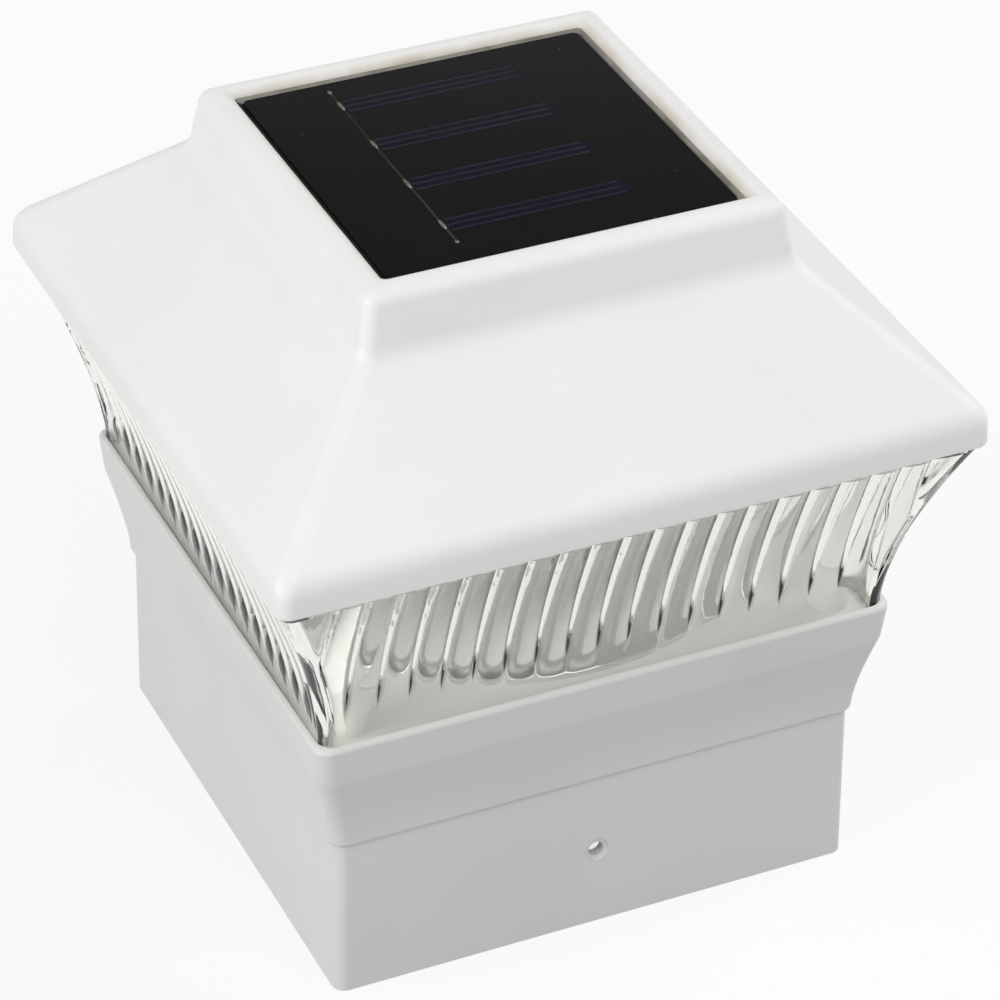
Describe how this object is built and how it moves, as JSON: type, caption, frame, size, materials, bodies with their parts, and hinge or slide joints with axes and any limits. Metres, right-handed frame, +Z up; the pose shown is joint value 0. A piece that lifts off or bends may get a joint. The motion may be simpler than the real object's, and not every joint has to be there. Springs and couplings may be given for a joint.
{
  "type": "deck post cap light",
  "caption": "Solar post cap light for a square deck post: socket sleeve, flared collar, clear fluted lens and a hipped roof with a solar panel in its neck.",
  "frame": {"origin": "middle of the sleeve's foot, at the mouth of the post socket", "axes": "+Z up along the post, +Y towards the back with its screw hole, +X to the right seen from the front"},
  "size_m": [0.1412, 0.1412, 0.1442],
  "materials": {
    "white_shell": "satin moulded, weathered",
    "white_inner": "moulded",
    "clear_lens": "clear, moulded",
    "clear_cover": "clear, poured",
    "grey_foam": "closed-cell foam",
    "black_foam": "closed-cell foam",
    "silvered": "vacuum silvered",
    "screw_steel": "zinc plated",
    "panel_black": "laminate",
    "cell_blue": "coated silicon",
    "trace_silver": "printed silver",
    "solder": "dull solder",
    "cell_sleeve": "shrink-sleeved steel can",
    "contact_nickel": "nickel plated",
    "board_green": "solder mask",
    "part_black": "moulded",
    "diode_epoxy": "clear epoxy",
    "lead_red": "PVC",
    "lead_black": "PVC"
  },
  "bodies": {
    "cap": {"post_sleeve": "white_shell", "base_collar": "white_shell", "lens": "clear_lens", "roof_cap": "white_shell", "roof_tray": "white_inner", "roof_seal": "grey_foam", "lens_seal": "grey_foam", "reflector_dish": "silvered", "spreader_cone": "silvered", "wire_conduit": "white_inner", "head_screws": "screw_steel", "sleeve_screws": "screw_steel", "panel_seal": "black_foam", "panel_board": "panel_black", "panel_cells": "cell_blue", "panel_fingers": "trace_silver", "panel_ribbon": "trace_silver", "panel_solder": "solder", "panel_cover": "clear_cover", "bay_plate": "white_inner", "battery": "cell_sleeve", "positive_contact": "contact_nickel", "negative_contact": "contact_nickel", "battery_spring": "contact_nickel", "driver_board": "board_green", "board_parts": "part_black", "board_screws": "screw_steel", "led_spacer": "part_black", "led_lamp": "diode_epoxy", "switch_body": "part_black", "panel_lead_red": "lead_red", "panel_lead_black": "lead_black", "battery_lead_red": "lead_red", "battery_lead_black": "lead_black"},
    "switch_knob": {"switch_knob": "part_black"},
    "battery_door": {"battery_door": "white_inner"}
  },
  "joints": [
    {"name": "switch_slide", "type": "slide", "parent": "cap", "child": "switch_knob", "axis": [1, 0, 0], "range_m": [0, 0.0034]},
    {"name": "door_hinge", "type": "hinge", "parent": "cap", "child": "battery_door", "pos_m": [0.0276, 0.018, 0.0346], "axis": [0, -1, 0], "range_deg": [0, 85]}
  ]
}
